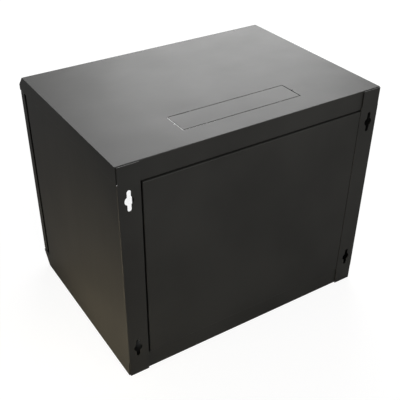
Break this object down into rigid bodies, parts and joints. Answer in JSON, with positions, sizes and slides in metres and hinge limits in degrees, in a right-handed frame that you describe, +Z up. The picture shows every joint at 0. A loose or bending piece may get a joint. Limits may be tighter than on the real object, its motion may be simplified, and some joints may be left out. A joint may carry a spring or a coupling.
{
  "type": "wall mount network cabinet",
  "caption": "Shallow wall-mount equipment cabinet: folded steel case, keyholed rear columns, glazed locking door, adjustable nineteen-inch rails.",
  "frame": {"origin": "centre of the underside of the case, midway between its side planes and midway between the front of the hoods and the wall plane", "axes": "+X to the right as seen from the front, +Y towards the wall, +Z up; the door is on the -Y side"},
  "size_m": [0.6, 0.4797, 0.5],
  "materials": {
    "black_powder_coat": "fine satin powder coat",
    "rack_steel": "satin powder coat",
    "zinc_steel": "bright zinc plate",
    "spring_steel": "drawn wire",
    "lock_nickel": "nickel plate",
    "clear_glass": "polished",
    "foam_tape": "matt foam",
    "black_rubber": "matt",
    "nylon": "natural nylon"
  },
  "bodies": {
    "case": {"bottom_cover": "black_powder_coat", "bottom_hinge_pin": "zinc_steel", "cover_bolts": "zinc_steel", "cover_nuts": "zinc_steel", "depth_bracket_bolts": "zinc_steel", "depth_bracket_nuts": "zinc_steel", "door_bumpers": "black_rubber", "earth_nut": "zinc_steel", "earth_stud": "zinc_steel", "left_side_panel": "black_powder_coat", "lower_left_depth_bracket": "rack_steel", "lower_right_depth_bracket": "rack_steel", "rear_panel": "black_powder_coat", "rear_panel_clip_bolts": "zinc_steel", "rear_panel_clip_nuts": "zinc_steel", "rear_panel_clips": "zinc_steel", "right_side_panel": "black_powder_coat", "top_cover": "black_powder_coat", "top_hinge_bush": "nylon", "upper_left_depth_bracket": "rack_steel", "upper_right_depth_bracket": "rack_steel"},
    "door": {"door_frame": "black_powder_coat", "door_glass": "clear_glass", "glass_tape": "foam_tape", "glass_clips": "zinc_steel", "glass_clip_studs": "zinc_steel", "glass_clip_nuts": "zinc_steel", "top_hinge_bracket": "zinc_steel", "top_hinge_spring": "spring_steel", "bottom_hinge_bush": "nylon", "lock_body": "lock_nickel", "lock_nut": "zinc_steel"},
    "lock": {"lock_plug": "lock_nickel", "lock_cam": "zinc_steel", "lock_cam_screw": "zinc_steel", "lock_key": "lock_nickel"},
    "hinge_pin": {"top_hinge_pin": "zinc_steel"},
    "front_left_rail": {"front_left_rail": "rack_steel", "front_left_rail_bolts": "zinc_steel", "front_left_rail_nuts": "zinc_steel"},
    "front_right_rail": {"front_right_rail": "rack_steel", "front_right_rail_bolts": "zinc_steel", "front_right_rail_nuts": "zinc_steel"},
    "rear_left_rail": {"rear_left_rail": "rack_steel", "rear_left_rail_bolts": "zinc_steel", "rear_left_rail_nuts": "zinc_steel"},
    "rear_right_rail": {"rear_right_rail": "rack_steel", "rear_right_rail_bolts": "zinc_steel", "rear_right_rail_nuts": "zinc_steel"}
  },
  "joints": [
    {"name": "door_swing", "type": "hinge", "parent": "case", "child": "door", "pos_m": [-0.2915, -0.215, 0.2515], "axis": [0, 0, -1], "range_deg": [0, 180]},
    {"name": "lock_turn", "type": "hinge", "parent": "door", "child": "lock", "pos_m": [0.245, -0.215, 0.2515], "axis": [0, -1, 0], "range_deg": [0, 90]},
    {"name": "hinge_pin_slide", "type": "slide", "parent": "door", "child": "hinge_pin", "axis": [0, 0, -1], "range_m": [0, 0.008], "stiffness_N_per_m": 700, "springref_m": -0.003, "deforming": ["top_hinge_spring"]},
    {"name": "front_left_rail_adjust", "type": "slide", "parent": "case", "child": "front_left_rail", "axis": [0, 1, 0], "range_m": [0, 0.08]},
    {"name": "front_right_rail_adjust", "type": "slide", "parent": "case", "child": "front_right_rail", "axis": [0, 1, 0], "range_m": [0, 0.08]},
    {"name": "rear_left_rail_adjust", "type": "slide", "parent": "case", "child": "rear_left_rail", "axis": [0, -1, 0], "range_m": [0, 0.08]},
    {"name": "rear_right_rail_adjust", "type": "slide", "parent": "case", "child": "rear_right_rail", "axis": [0, -1, 0], "range_m": [0, 0.08]}
  ]
}
